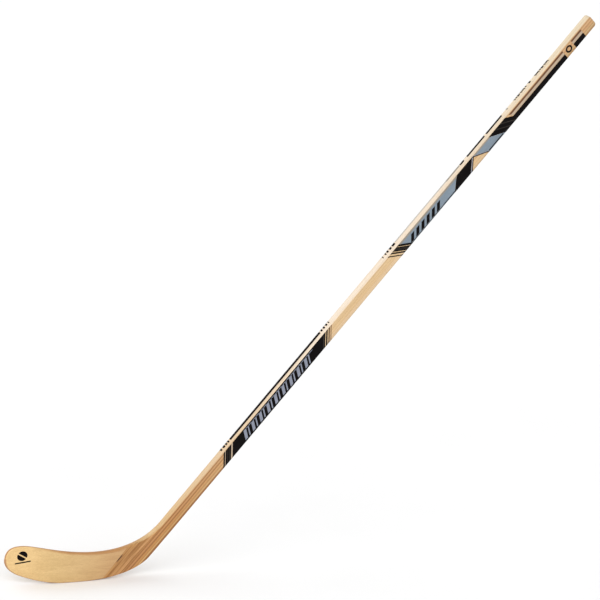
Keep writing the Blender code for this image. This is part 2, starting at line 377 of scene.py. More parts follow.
def at_fraction(chain, fraction):
    """The point at a fraction of a chain's length."""
    lengths = [math.dist(a, b) for a, b in zip(chain, chain[1:])]
    goal = fraction * sum(lengths)
    for a, b, length in zip(chain, chain[1:], lengths):
        if goal <= length:
            f = goal / length
            return a[0] + (b[0] - a[0]) * f, a[1] + (b[1] - a[1]) * f
        goal -= length
    return chain[-1]


def blade_grid(line, inset, columns):
    """Chords from the underside to the top, from a line across the heel to the toe."""
    under = trimmed_chain(UNDERSIDE, line, inset)
    top = trimmed_chain(TOPSIDE, line, inset)
    under[-1] = top[-1]
    grid = []
    for i in range(columns + 1):
        f = math.sin(math.pi / 2 * i / columns) * 0.35 + 0.65 * i / columns
        a, b = at_fraction(under, f), at_fraction(top, f)
        length = math.dist(a, b)
        steps = rim_and_even(length, BLADE_ROWS, RIM_STEPS)
        share = [x / length if length > 0 else 0.0 for x in steps]
        grid.append([(a[0] + (b[0] - a[0]) * x, a[1] + (b[1] - a[1]) * x) for x in share])
    return grid


def slot_cutter():
    """A plate that fills the saw slot, ahead of the line where the tongue ends."""
    alpha, beta = line_through(TONGUE_LINE)
    grid = []
    for s in [(-80 + 6 * i) * MM for i in range(41)]:
        start = alpha - GLUE + beta * s
        grid.append([to_side(start + (90 * MM - start) * i / 30, s) for i in range(31)])
    mesh = slab_mesh(
        "slot_cutter", grid, lambda t, z: 0 * t + SLOT_HALF, lambda t, z: 0 * t - SLOT_HALF
    )
    return add_piece("slot_cutter", mesh, None)


def cut_by(mesh, cutter):
    """The mesh with the saw slot taken out of it."""
    holder = bpy.data.objects.new("holder", mesh)
    bpy.context.scene.collection.objects.link(holder)
    cut = holder.modifiers.new("slot", "BOOLEAN")
    cut.operation = "DIFFERENCE"
    cut.object = cutter
    bpy.context.view_layer.update()
    graph = bpy.context.evaluated_depsgraph_get()
    result = bpy.data.meshes.new_from_object(holder.evaluated_get(graph))
    bpy.data.objects.remove(holder)
    return finish_mesh(result)


# ---------------------------------------------------------------- materials
def rgb(code, gain=1.0):
    """Linear colour from a hex code, made lighter or darker by gain."""
    parts = [int(code[i:i + 2], 16) / 255 for i in (0, 2, 4)]
    linear = [c / 12.92 if c <= 0.04045 else ((c + 0.055) / 1.055) ** 2.4 for c in parts]
    return (*[min(1.0, c * gain) for c in linear], 1.0)


def connect(tree, socket, value):
    """Links another node's output to a socket, or sets a constant on it."""
    if isinstance(value, bpy.types.NodeSocket):
        tree.links.new(value, socket)
    else:
        socket.default_value = value


def calc(tree, operation, a, b=0.0):
    made = tree.nodes.new("ShaderNodeMath")
    made.operation = operation
    connect(tree, made.inputs[0], a)
    connect(tree, made.inputs[1], b)
    return made.outputs[0]


def spread(tree, value, low, high, to_low=0.0, to_high=1.0):
    """The value mapped smoothly from one range to another."""
    made = tree.nodes.new("ShaderNodeMapRange")
    made.interpolation_type = "SMOOTHSTEP"
    for name, number in zip(("From Min", "From Max", "To Min", "To Max"),
                            (low, high, to_low, to_high)):
        made.inputs[name].default_value = number
    connect(tree, made.inputs["Value"], value)
    return made.outputs["Result"]


def mix(tree, factor, a, b, blend="MIX"):
    made = tree.nodes.new("ShaderNodeMix")
    made.data_type = "RGBA"
    made.blend_type = blend
    connect(tree, made.inputs[0], factor)
    connect(tree, made.inputs[6], a)
    connect(tree, made.inputs[7], b)
    return made.outputs[2]


def ramp(tree, value, stops):
    made = tree.nodes.new("ShaderNodeValToRGB")
    elements = made.color_ramp.elements
    while len(elements) < len(stops):
        elements.new(0.5)
    for element, (position, colour) in zip(elements, stops):
        element.position = position
        element.color = colour
    connect(tree, made.inputs[0], value)
    return made.outputs[0]


def dot(tree, vector, direction):
    made = tree.nodes.new("ShaderNodeVectorMath")
    made.operation = "DOT_PRODUCT"
    tree.links.new(vector, made.inputs[0])
    made.inputs[1].default_value = direction
    return made.outputs["Value"]


def combine(tree, x, y, z):
    made = tree.nodes.new("ShaderNodeCombineXYZ")
    for socket, value in zip(made.inputs, (x, y, z)):
        connect(tree, socket, value)
    return made.outputs[0]


def new_material(name):
    material = bpy.data.materials.new(name)
    material.use_nodes = True
    tree = material.node_tree
    return material, tree, tree.nodes["Principled BSDF"]


def shaft_place(tree):
    """Distance up the shaft, distance from its back edge and distance across, in metres."""
    point = tree.nodes.new("ShaderNodeTexCoord").outputs["Object"]
    up = dot(tree, point, SHAFT_UP)
    deep = dot(tree, point, SHAFT_AHEAD)
    corner = Vector((SOLE_MIDDLE, 0, -CORNER_DROP))
    up = calc(tree, "SUBTRACT", up, corner.dot(SHAFT_UP))
    deep = calc(tree, "SUBTRACT", deep, corner.dot(SHAFT_AHEAD))
    across = calc(tree, "ADD", dot(tree, point, (0, 1, 0)), MID_BEND)
    return up, deep, across


def blade_place(tree):
    """Distance along the blade from the middle of the sole, height, and distance across."""
    point = tree.nodes.new("ShaderNodeTexCoord").outputs["Object"]
    return (
        dot(tree, point, (-1, 0, 0)), dot(tree, point, (0, 0, 1)), dot(tree, point, (0, 1, 0))
    )


def streaks(tree, place, along, across, seed, detail=3.0):
    """Noise drawn out along the grain: along and across are its features per metre."""
    mapping = tree.nodes.new("ShaderNodeMapping")
    tree.links.new(combine(tree, *place), mapping.inputs["Vector"])
    mapping.inputs["Location"].default_value = (seed * 3.7, seed * 11.3, seed * 5.9)
    mapping.inputs["Scale"].default_value = (along, across, across)
    noise = tree.nodes.new("ShaderNodeTexNoise")
    noise.inputs["Scale"].default_value = 1.0
    noise.inputs["Detail"].default_value = detail
    noise.inputs["Roughness"].default_value = 0.55
    tree.links.new(mapping.outputs[0], noise.inputs["Vector"])
    return noise.outputs["Fac"]


def add_bump(tree, shader, height, strength, distance):
    bump = tree.nodes.new("ShaderNodeBump")
    bump.inputs["Strength"].default_value = strength
    bump.inputs["Distance"].default_value = distance
    tree.links.new(height, bump.inputs["Height"])
    tree.links.new(bump.outputs[0], shader.inputs["Normal"])


def wood_grain(tree, shader, place, colour, seed, contrast=1.0):
    """Grain over a base colour: soft figure, growth rings, fibres and pores, under clear lacquer."""
    figure = spread(tree, streaks(tree, place, 2.2, 95, seed), 0.3, 0.7)
    rings = spread(tree, streaks(tree, place, 3.0, 620, seed + 1, 4.0), 0.34, 0.66)
    fibres = spread(tree, streaks(tree, place, 60, 4200, seed + 2, 2.0), 0.3, 0.7)
    pores = spread(tree, streaks(tree, place, 190, 3000, seed + 3, 1.0), 0.66, 0.74)
    tone = calc(tree, "MULTIPLY", figure, 0.40)
    tone = calc(tree, "ADD", tone, calc(tree, "MULTIPLY", rings, 0.38))
    tone = calc(tree, "ADD", tone, calc(tree, "MULTIPLY", fibres, 0.22))
    dark = [1 - contrast * c for c in (0.20, 0.27, 0.36)]
    light = [1 + contrast * c for c in (0.13, 0.16, 0.20)]
    shade = mix(tree, tone, (*dark, 1), (*light, 1))
    colour = mix(tree, 1.0, colour, shade, "MULTIPLY")
    pore_tint = mix(tree, pores, (1, 1, 1, 1), (0.62, 0.52, 0.42, 1))
    colour = mix(tree, 1.0, colour, pore_tint, "MULTIPLY")
    tree.links.new(colour, shader.inputs["Base Color"])
    roughness = calc(tree, "ADD", calc(tree, "MULTIPLY", fibres, 0.10), WOOD_ROUGHNESS)
    roughness = calc(tree, "ADD", roughness, calc(tree, "MULTIPLY", pores, 0.12))
    tree.links.new(roughness, shader.inputs["Roughness"])
    height = calc(tree, "SUBTRACT", calc(tree, "ADD", rings, fibres), pores)
    add_bump(tree, shader, height, 0.35, 0.05 * MM)
    shader.inputs["Specular IOR Level"].default_value = WOOD_SHEEN
    shader.inputs["Coat Weight"].default_value = LACQUER_WEIGHT
    shader.inputs["Coat Roughness"].default_value = LACQUER_ROUGHNESS


def along_shaft(tree, up, low, middle, high):
    """A colour that goes from the heel's shade to the middle's and on to the butt's."""
    place = calc(tree, "DIVIDE", up, SHAFT_LENGTH)
    return ramp(tree, place, [(0.09, low), (0.40, middle), (0.66, middle), (0.96, high)])


def lit_front_mask(tree):
    """1 where the surface faces along the depth of the shaft, 0 where it faces across. Where it is 1
    the front face's colour goes on, with its painted light and painted sheen.
    """
    normal = tree.nodes.new("ShaderNodeNewGeometry").outputs["Normal"]
    turned = dot(tree, normal, SHAFT_AHEAD)
    return spread(tree, calc(tree, "ABSOLUTE", turned), 0.35, 0.70)


def beside_joints(tree, place):
    """How much the wood is darkened beside the glued joints, mostly towards the heel."""
    total = 0.0
    for joint, (weight, reach) in zip(ply_edges()[1:-1], JOINT_WEIGHTS):
        gap = calc(tree, "ABSOLUTE", calc(tree, "SUBTRACT", place[1], joint))
        near = spread(tree, gap, 0.5 * MM, reach * MM, weight, 0.0)
        total = calc(tree, "ADD", total, near)
    greys = [(g, g, g, 1) for g in JOINT_ALONG]
    return calc(tree, "MULTIPLY", total, along_shaft(tree, place[0], *greys))


def shaft_wood(name, edge_shades, seed):
    """Wood of one shaft ply. Its sawn edge, on the wide faces, is browner than its front face, whose
    paler colour is partly the wood's own and partly painted light and a painted sheen.
    """
    material, tree, shader = new_material(name)
    place = shaft_place(tree)
    # Along the shaft the colours darken towards the heel, partly the wood's own tone and partly
    # painted shade where less light falls, and are palest in the middle, partly painted light.
    edge = along_shaft(tree, place[0], *[rgb(c, EDGE_GAIN) for c in edge_shades])
    edge = mix(tree, beside_joints(tree, place), edge, rgb(JOINT_SHADE, EDGE_GAIN))
    # The front face is painted paler than the wide faces: partly the wood's own colour, partly
    # painted light and a painted sheen.
    face = along_shaft(tree, place[0], *[rgb(c, FACE_GAIN) for c in LIT_FACE_SHADES])
    wood_grain(tree, shader, place, mix(tree, lit_front_mask(tree), edge, face), seed)
    return material


def heel_wood(name, shade, seed, dark_streak):
    material, tree, shader = new_material(name)
    place = shaft_place(tree)
    colour = rgb(shade, EDGE_GAIN)
    patches = spread(tree, streaks(tree, place, 9, 300, seed + 7, 2.0), 0.35, 0.62)
    colour = mix(tree, patches, rgb(HEEL_DARK, EDGE_GAIN), colour)
    if dark_streak:
        colour = mix(tree, streak_mask(tree, place), colour, rgb(HEEL_STREAK, EDGE_GAIN))
    wood_grain(tree, shader, place, lit_heel_top(tree, colour), seed, 1.15)
    return material


def lit_heel_top(tree, colour):
    """Towards the shaft, the heel's narrow top has the paler colour of the shaft's front face: the
    wood's colour with painted light, as this top faces up to the light.
    """
    along = shaft_place(tree)[0]
    share = calc(tree, "MULTIPLY", lit_front_mask(tree), spread(tree, along, 25 * MM, 90 * MM))
    return mix(tree, share, colour, rgb(LIT_FACE_SHADES[0], FACE_GAIN))


def streak_mask(tree, place):
    """A short dark mineral streak in the last heel ply, beside the joint."""
    from_middle = calc(tree, "ABSOLUTE", calc(tree, "SUBTRACT", place[0], STREAK_AT[0]))
    ends = spread(tree, from_middle, 4 * MM, 14 * MM, 1.0, 0.0)
    beside = calc(tree, "ABSOLUTE", calc(tree, "SUBTRACT", place[1], STREAK_AT[1]))
    sides = spread(tree, beside, 0.6 * MM, 2.2 * MM, 1.0, 0.0)
    return calc(tree, "MULTIPLY", ends, sides)


def veneer_wood(name, seed):
    """Blade veneer: cream at the toe and browner at the heel, where the browning is painted shade as
    the blade turns away from the light. It is browner too along its top edge and its sole.
    """
    material, tree, shader = new_material(name)
    place = blade_place(tree)
    share = calc(tree, "DIVIDE", calc(tree, "ADD", place[0], SOLE_MIDDLE), TOE_TIP)
    # Painted shade: the veneer's colour darkens from the toe towards the heel, where the blade turns
    # away from the light.
    shades = [rgb(c, EDGE_GAIN) for c in VENEER_SHADES]
    colour = ramp(tree, share, list(zip(VENEER_PLACES, shades)))
    # Browner within a few mm of the top edge, fading out towards the toe, and browner along the
    # sole.
    reach = spread(tree, streaks(tree, place, 9, 40, seed + 9), 0.2, 0.8, 5.0, 8.5)
    near_top = calc(tree, "DIVIDE", attribute(tree, "top_distance"), reach)
    near_top = spread(tree, near_top, 0.25, 1.0, 1.0, 0.0)
    fading = spread(tree, share, 0.55, 0.86, 1.0, 0.0)
    sanded = calc(tree, "MULTIPLY", calc(tree, "MULTIPLY", near_top, fading), 0.9)
    colour = mix(tree, sanded, colour, rgb(TOP_EDGE_BROWN, EDGE_GAIN))
    near_sole = spread(tree, attribute(tree, "sole_distance"), 0.6, 2.6, 0.75, 0.0)
    colour = mix(tree, near_sole, colour, rgb(SOLE_EDGE_BROWN, EDGE_GAIN))
    wood_grain(tree, shader, place, colour, seed, 0.75)
    return material


def attribute(tree, name):
    made = tree.nodes.new("ShaderNodeAttribute")
    made.attribute_name = name
    return made.outputs["Fac"]


def core_wood(name, seed):
    """Wood of the blade core. It shows only along the blade's edges and in the heel's slot."""
    material, tree, shader = new_material(name)
    place = blade_place(tree)
    # The core's top in the heel's slot takes the same paler colour: painted light on faces turned up
    # to it.
    colour = lit_heel_top(tree, rgb(CORE_SHADE, EDGE_GAIN))
    wood_grain(tree, shader, place, colour, seed, 1.1)
    return material


def ink(name, code, seed, metallic=0.0, fleck=0.0, sheen=0.12):
    """Screen-printed ink: the grain shows through a little."""
    material, tree, shader = new_material(name)
    place = shaft_place(tree)
    fibres = spread(tree, streaks(tree, place, 40, 2400, seed, 3.0), 0.25, 0.75)
    cloud = spread(tree, streaks(tree, place, 30, 90, seed + 1), 0.2, 0.8)
    grains = spread(tree, streaks(tree, place, 5200, 5200, seed + 2, 1.0), 0.3, 0.7)
    tone = calc(tree, "ADD", calc(tree, "MULTIPLY", fibres, 0.5), calc(tree, "MULTIPLY", cloud, 0.5))
    base = rgb(code)
    thin = (*[c * 1.16 + 0.004 for c in base[:3]], 1)
    thick = (*[c * 0.88 for c in base[:3]], 1)
    colour = mix(tree, tone, thick, thin)
    if fleck:
        sparkle = mix(tree, grains, (1 - fleck, 1 - fleck, 1 - fleck, 1), (1 + fleck,) * 3 + (1,))
        colour = mix(tree, 1.0, colour, sparkle, "MULTIPLY")
    tree.links.new(colour, shader.inputs["Base Color"])
    roughness = calc(tree, "ADD", calc(tree, "MULTIPLY", tone, 0.14), 0.30)
    tree.links.new(roughness, shader.inputs["Roughness"])
    add_bump(tree, shader, fibres, 0.25, 0.03 * MM)
    shader.inputs["Metallic"].default_value = metallic
    shader.inputs["Specular IOR Level"].default_value = sheen
    return material


def glue(name):
    material, tree, shader = new_material(name)
    place = shaft_place(tree)
    beads = spread(tree, streaks(tree, place, 300, 900, 31), 0.3, 0.7)
    colour = mix(tree, beads, *[rgb(c) for c in GLUE_SHADES])
    # On the front face the glue takes the front face's colour, with its painted light and painted
    # sheen.
    colour = mix(tree, lit_front_mask(tree), colour, rgb(LIT_FACE_SHADES[0], FACE_GAIN))
    tree.links.new(colour, shader.inputs["Base Color"])
    tree.links.new(calc(tree, "ADD", calc(tree, "MULTIPLY", beads, 0.2), 0.25),
                   shader.inputs["Roughness"])
    add_bump(tree, shader, beads, 1.0, 0.05 * MM)
    return material


# ---------------------------------------------------------------- colours and lacquer
EDGE_GAIN = 0.88                    # how far each shade is darkened for this studio's light
FACE_GAIN = 0.70
WOOD_ROUGHNESS = 0.34
WOOD_SHEEN = 0.3
LACQUER_WEIGHT = 0.12
LACQUER_ROUGHNESS = 0.2
LIT_FACE_SHADES = ("e7c28c", "f8e6cf", "ecdabb")     # the front face at the heel, in the middle and at the butt: the wood's colour with painted light and a painted sheen
GLUE_SHADES = ("8a5f35", "ab7c48")
JOINT_SHADE = "96602c"
JOINT_WEIGHTS = ((1.4, 4.6), (0.4, 2.1), (1.0, 2.3), (0.9, 2.1))   # weight and reach in mm
JOINT_ALONG = (0.95, 0.02, 0.45)    # at the heel, in the middle and at the butt
PLY_SHADES = {                      # at the heel, in the middle of the shaft and at the butt; darker at the heel, partly the wood's own tone and partly painted shade, and palest in the middle, partly painted light
    "back": ("c29a66", "dcc19a", "c8a87a"),
    "second": ("cda064", "e8caa1", "c9a979"),
    "middle": ("c68f52", "e4c393", "cfa474"),
    "fourth": ("c58e58", "e2c293", "d5aa7b"),
    "front": ("bc864e", "e1c49b", "d6af80"),
}
HEEL_SHADES = ("d8a46c", "cf9b64", "c9965d", "c6945a")
HEEL_DARK = "a6733c"
HEEL_STREAK = "4a2713"
STREAK_AT = (5 * MM, 59.8 * MM)     # place up the shaft and depth from its back edge
# Veneer colours from the heel to the toe; their darkening towards the heel is painted shade.
VENEER_SHADES = ("cfa674", "d5b27d", "dbba82", "e6c389")
VENEER_PLACES = (0.20, 0.45, 0.66, 0.86)        # shares of the way from the heel to the toe
# Browner tones along the blade's top edge and along its sole.
TOP_EDGE_BROWN = "b98550"
SOLE_EDGE_BROWN = "b58560"
CORE_SHADE = "bb8a58"


# ---------------------------------------------------------------- building the stick
def build_shaft(cutter):
    edges = ply_edges()
    names = ["back", "second", "middle", "fourth", "front"]
    slots = ["brown_ply", "core_ply", "pale_ply", "core_ply", "pale_ply"]
    for k, (name, slot) in enumerate(zip(names, slots)):
        left = (edges[k] + (GLUE / 2 if k > 0 else 0.0), 0.0)
        right = (edges[k + 1] - (GLUE / 2 if k < SHAFT_PLIES - 1 else 0.0), 0.0)
        columns = ply_columns(left, right, k == 0, k == SHAFT_PLIES - 1)
        mesh = slab_mesh(name, shaft_grid(columns), outer_half, under_half)
        if k > 0:
            mesh = cut_by(mesh, cutter)
        node = f"shaft_{name}_ply"
        add_piece(f"{node}_wood", mesh, shaft_wood(node, PLY_SHADES[name], 10 * k), [node])


def cheek_outside(half, t, z):
    """A cheek's outer face. Where the rounded edge is narrower than the slot it is in the core."""
    return np.where(half(t, z) > SLOT_HALF + SKIN, half(t, z), core_half(t, z) - SKIN)


def cheek_inside(half, t, z):
    return np.minimum(SLOT_HALF, cheek_outside(half, t, z) - SKIN)


def build_heel():
    joint = line_through(JOINT_LINE)
    for k in range(HEEL_PLIES):
        left = (SHAFT_DEPTH + k * HEEL_PLY + GLUE, 0.0)
        right = (SHAFT_DEPTH + (k + 1) * HEEL_PLY, 0.0)
        if k == HEEL_PLIES - 1:
            right = joint
        grid = heel_grid(ply_columns(left, right))
        for side, sign in (("forehand", 1), ("backhand", -1)):
            node = f"heel_ply_{k + 1}_{side}"
            mesh = slab_mesh(
                node, grid,
                lambda t, z, sign=sign: sign * cheek_outside(outer_half, t, z),
                lambda t, z, sign=sign: sign * cheek_inside(outer_half, t, z),
            )
            wood = heel_wood(node, HEEL_SHADES[k], 60 + 9 * k + sign, k == HEEL_PLIES - 1)
            add_piece(f"{node}_wood", mesh, wood, [node])


def core_half(t, z):
    """Half thickness of the core, just under the sanded surface wherever it reaches that."""
    edge = np.minimum(edge_distance(t, z, FRONT_EDGE), edge_distance(t, z, BACK_EDGE))
    sunk = SANDED * smooth(edge / VENEER_INSET)
    return np.minimum(
        np.minimum(CORE_HALF, full_half(t, z) - VENEER - GLUE), outer_half(t, z) - sunk
    )


def veneer_inner(t, z):
    """Offset of a veneer's inner face."""
    thick = np.minimum(SLOT_HALF, full_half(t, z) - VENEER)
    return np.minimum(thick, outer_half(t, z) - SANDED / 2)


def mark_edges(piece):
    """Stores each point's distance from the blade's top edge and its underside, in mm."""
    points = np.array([v.co for v in piece.data.vertices])
    t, z = SOLE_MIDDLE - points[:, 0], points[:, 2]
    for name, edge in (("top_distance", TOPSIDE), ("sole_distance", UNDERSIDE)):
        layer = piece.data.attributes.new(name, "FLOAT", "POINT")
        layer.data.foreach_set("value", (edge_distance(t, z, edge) / MM).astype(np.float32))


def build_blade():
    grid = blade_grid(line_through(TONGUE_LINE), 0.0, 110)
    mesh = slab_mesh("core", grid, core_half, lambda t, z: -core_half(t, z))
    add_piece("blade_core_wood", mesh, core_wood("blade_core", 90), ["blade_core"])
    alpha, beta = line_through(JOINT_LINE)
    grid = blade_grid((alpha + GLUE, beta), VENEER_INSET, 100)
    for side, sign in (("forehand", 1), ("backhand", -1)):
        node = f"blade_veneer_{side}"
        mesh = slab_mesh(
            node, grid,
            lambda t, z, sign=sign: sign * outer_half(t, z),
            lambda t, z, sign=sign: sign * veneer_inner(t, z),
        )
        piece = add_piece(f"{node}_wood", mesh, veneer_wood(node, 70 + sign), [node])
        mark_edges(piece)


def joined(name, meshes):
    """Several meshes as one, smooth but for its sharp edges."""
    work = bmesh.new()
    for mesh in meshes:
        work.from_mesh(mesh)
    result = bpy.data.meshes.new(name)
    work.to_mesh(result)
    work.free()
    result.shade_smooth()
    result.set_sharp_from_angle(angle=SHARP_ANGLE)
    return result


def seam_half(t, z):
    return outer_half(t, z) - SEAM_DEPTH


def build_glue(cutter):
    """Hardened glue, just below the surface, in the joints between the pieces of wood."""
    wood = glue("glue")
    seams = []
    for edge in ply_edges()[1:-1]:
        columns = [(edge - GLUE / 2, 0.0), (edge + GLUE / 2, 0.0)]
        mesh = slab_mesh("seam", shaft_grid(columns), seam_half, lambda t, z: -seam_half(t, z))
        seams.append(cut_by(mesh, cutter))
    add_piece("shaft_glue_lines", joined("shaft_glue", seams), wood)
    lines = [(SHAFT_DEPTH + k * HEEL_PLY, 0.0) for k in range(HEEL_PLIES)]
    lines.append(line_through(JOINT_LINE))
    seams = []
    for alpha, beta in lines:
        grid = heel_grid([(alpha, beta), (alpha + GLUE, beta)])
        for sign in (1, -1):
            seams.append(slab_mesh(
                "seam", grid,
                lambda t, z, sign=sign: sign * cheek_outside(seam_half, t, z),
                lambda t, z, sign=sign: sign * cheek_inside(seam_half, t, z),
            ))
    add_piece("heel_glue_lines", joined("heel_glue", seams), wood)
    films = []
    grid = blade_grid(line_through(TONGUE_LINE), VENEER_INSET, 60)
    for sign in (1, -1):
        films.append(slab_mesh(
            "film", grid,
            lambda t, z, sign=sign: sign * veneer_inner(t, z),
            lambda t, z, sign=sign: sign * (core_half(t, z) - 0.01 * MM),
        ))
    add_piece("tongue_glue", joined("tongue_glue", films), wood)


# ---------------------------------------------------------------- printed graphics
# A printed film wraps the shaft: from the near front edge, round the back, to just past the far
# front edge. Places on it are in mm: s up from the heel corner, n from the back edge. Below n = 3
# the film runs on round the back edge, and above n = 27 round the front edge.
FILM_BACK = -6.7
FILM_NEAR = 28.5                    # its edge on the backhand side
FILM_FAR = 29.5                     # its edge on the forehand side
MARGIN = (29.1, 37.2)               # the narrow strip where it ends on the front face
MIDDLE = 15
INK_RISE = 0.03 * MM
INK_SINK = 0.05 * MM
LOWER_SLANT = 0.84                  # mm up the shaft for each mm of n
UPPER_SLANT = -1.0
FOREHAND = (1,)
BOTH_SIDES = (1, -1)
EDGE_TURN = EDGE_RADIUS / MM * math.pi / 2
LEVELS = sorted(
    [3 - EDGE_TURN * k / 8 for k in range(9)] + [27 + EDGE_TURN * k / 8 for k in range(9)]
)


def on_film(s, n, side, height):
    """A point on the shaft's skin; side is +1 for the forehand face and -1 for the backhand."""
    front = n > MIDDLE
    past = (n * MM - SHAFT_DEPTH + EDGE_RADIUS) if front else (EDGE_RADIUS - n * MM)
    past = max(0.0, past)
    turn = min(past / EDGE_RADIUS, math.pi / 2)
    beyond = max(0.0, past - EDGE_RADIUS * math.pi / 2)
    reach = EDGE_RADIUS + height
    across = SHAFT_HALF_WIDTH - EDGE_RADIUS + reach * math.cos(turn) - beyond
    if past == 0.0:
        return on_shaft(s * MM, n * MM, side * across)
    out = reach * math.sin(turn)
    deep = SHAFT_DEPTH - EDGE_RADIUS + out if front else EDGE_RADIUS - out
    return on_shaft(s * MM, deep, side * across)


def slanted(start, end, slant, low=None, high=None, end_slant=None):
    """A block from start to end, given at mid depth. Without low and high it is the film's width."""
    return start, end, slant, slant if end_slant is None else end_slant, low, high


def rows_of(block, side):
    """A block as rows of two points, one row at each level of the film it reaches."""
    start, end, slant, end_slant, low, high = block
    low = FILM_BACK if low is None else low
    high = (FILM_FAR if side > 0 else FILM_NEAR) if high is None else high
    levels = [low] + [n for n in LEVELS if low + 0.01 < n < high - 0.01] + [high]
    return [
        [(start + slant * (n - MIDDLE), n), (end + end_slant * (n - MIDDLE), n)] for n in levels
    ]


def film_mesh(name, patches, side, layer=1):
    """Thin closed patches on one side of the film; a patch is rows of two points."""
    vertices = []
    faces = []
    for rows in patches:
        first = len(vertices)
        count = len(rows)
        for height in (INK_RISE * layer, -INK_SINK):
            vertices += [on_film(s, n, side, height) for row in rows for s, n in row]
        for k in range(count - 1):
            a = first + 2 * k
            b = a + 2 * count
            faces += [(a, a + 1, a + 3, a + 2), (b + 2, b + 3, b + 1, b)]
            faces += [(a, a + 2, b + 2, b), (a + 1, b + 1, b + 3, a + 3)]
        for a in (first, first + 2 * count - 2):
            faces.append((a, a + 1, a + 1 + 2 * count, a + 2 * count))
    mesh = bpy.data.meshes.new(name)
    mesh.from_pydata(vertices, [], faces)
    work = bmesh.new()
    work.from_mesh(mesh)
    bmesh.ops.recalc_face_normals(work, faces=work.faces)
    work.to_mesh(mesh)
    work.free()
    return mesh


def print_blocks(name, blocks, material, layer=1, sides=BOTH_SIDES):
    meshes = [
        film_mesh(name, [rows_of(block, side) for block in blocks], side, layer) for side in sides
    ]
    add_piece(name, joined(name, meshes), material)


def lower_graphic(black, silver, tan, brown, dark):
    """A long black field with slanting lines at both ends and a row of bars in its middle."""
    fields = [(305.8, 310.6), (312.6, 331), (335.7, 639.2), (641.6, 646.6), (650, 652.4)]
    lines = [(310.8, 312.4), (331.2, 335.5)]
    faint = [(319, 320.2), (325.4, 326.6), (633, 635)]
    thin = [(652.6, 653.6), (656.6, 659.2)]
    bars = []
    for i in range(9):
        start = 375 + 24.6 * i
        bars += [slanted(start, start + 8, 0.45, 5, 26)]
        bars += [slanted(start + 13, start + 16.5, 0.45, 5, 26)]
    bars.append(slanted(382, 600, 0.45, 24.4, 25.8))
    print_blocks("lower_print_black", [slanted(a, b, LOWER_SLANT) for a, b in fields], black)
    print_blocks("lower_print_lines", [slanted(a, b, LOWER_SLANT) for a, b in lines], tan)
    print_blocks("lower_print_thin", [slanted(a, b, LOWER_SLANT) for a, b in thin], brown)
    print_blocks("lower_print_faint", [slanted(a, b, LOWER_SLANT) for a, b in faint], dark, 2)
    print_blocks("lower_print_bars", bars, silver, 2)


def upper_graphic(black, silver, blue, warm, dark):
    """Blue-grey fields between black ones, with slanting ends, lines and a row of bars."""
    fields = [(868.3, 871.6), (876.8, 881.6), (883.8, 897), (898.6, 905.3)]
    blocks = [slanted(a, b, UPPER_SLANT) for a, b in fields]
    blocks.append(slanted(1068.5, 1120, 1.0, end_slant=0.93))
    blocks.append(slanted(1123.8, 1126.6, 0.93))
    blocks.append(slanted(1150, 1153.2, -1.47))
    blocks.append(slanted(1205.8, 1257.5, -1.35, end_slant=-1.2))
    print_blocks("upper_print_black", blocks, black)
    fields = [slanted(905.2, 1068.1, UPPER_SLANT, end_slant=1.0),
              slanted(1155.4, 1205.4, -1.47, end_slant=-1.35)]
    print_blocks("upper_print_blue", fields, blue)
    lines = [slanted(1120.6, 1123.2, 0.93), slanted(1153.4, 1155, -1.47)]
    print_blocks("upper_print_silver", lines, silver)
    faint = [slanted(888, 889.2, UPPER_SLANT), slanted(891.6, 892.8, UPPER_SLANT),
             slanted(1224.2, 1226, -1.3), slanted(1240.8, 1242.6, -1.25),
             slanted(916, 1020, 0.0, 2.6, 4.6)]
    print_blocks("upper_print_faint", faint, dark, 2)
    over = [slanted(921.5 + 17 * i, 931.5 + 17 * i, 0.8, 5, 20.5) for i in range(6)]
    over += [slanted(1020, 1058, 0.0, 3, 5.2), slanted(1171, 1217, 0.0, 3, 6)]
    print_blocks("upper_print_bars", over, black, 2)
    edges = [slanted(904.8, 1069.1, UPPER_SLANT, 24, end_slant=1.0),
             slanted(1154.8, 1205.4, -1.47, 25, end_slant=-1.35)]
    print_blocks("upper_print_edge", edges, warm, 2)


def handle_stripes(black, tan, brown):
    """Three stripes up the handle, broken where the ring stands on bare wood."""
    for name, first, low, high, material in (
        ("handle_stripe_black", 1257.5, FILM_BACK, 14.8, black),
        ("handle_stripe_tan", 1260.5, 15.2, 21.2, tan),
        ("handle_stripe_brown", 1264.5, 21.6, 26.4, brown),
    ):
        blocks = [
            slanted(first, 1429, -1.2, low, high, end_slant=0.0),
            slanted(1457.5, 1489.5, 0.0, low, high),
        ]
        print_blocks(name, blocks, material)


RING_AT = (1443.5, 15.5)
RING_RADII = (8.6, 4.6)
RING_STEPS = 32


def ring():
    """A ring as one patch that comes back to its start."""
    rows = []
    for i in range(RING_STEPS + 1):
        x = 2 * math.pi * i / RING_STEPS
        rows.append([
            (RING_AT[0] + r * math.cos(x), RING_AT[1] + r * math.sin(x)) for r in RING_RADII
        ])
    return rows


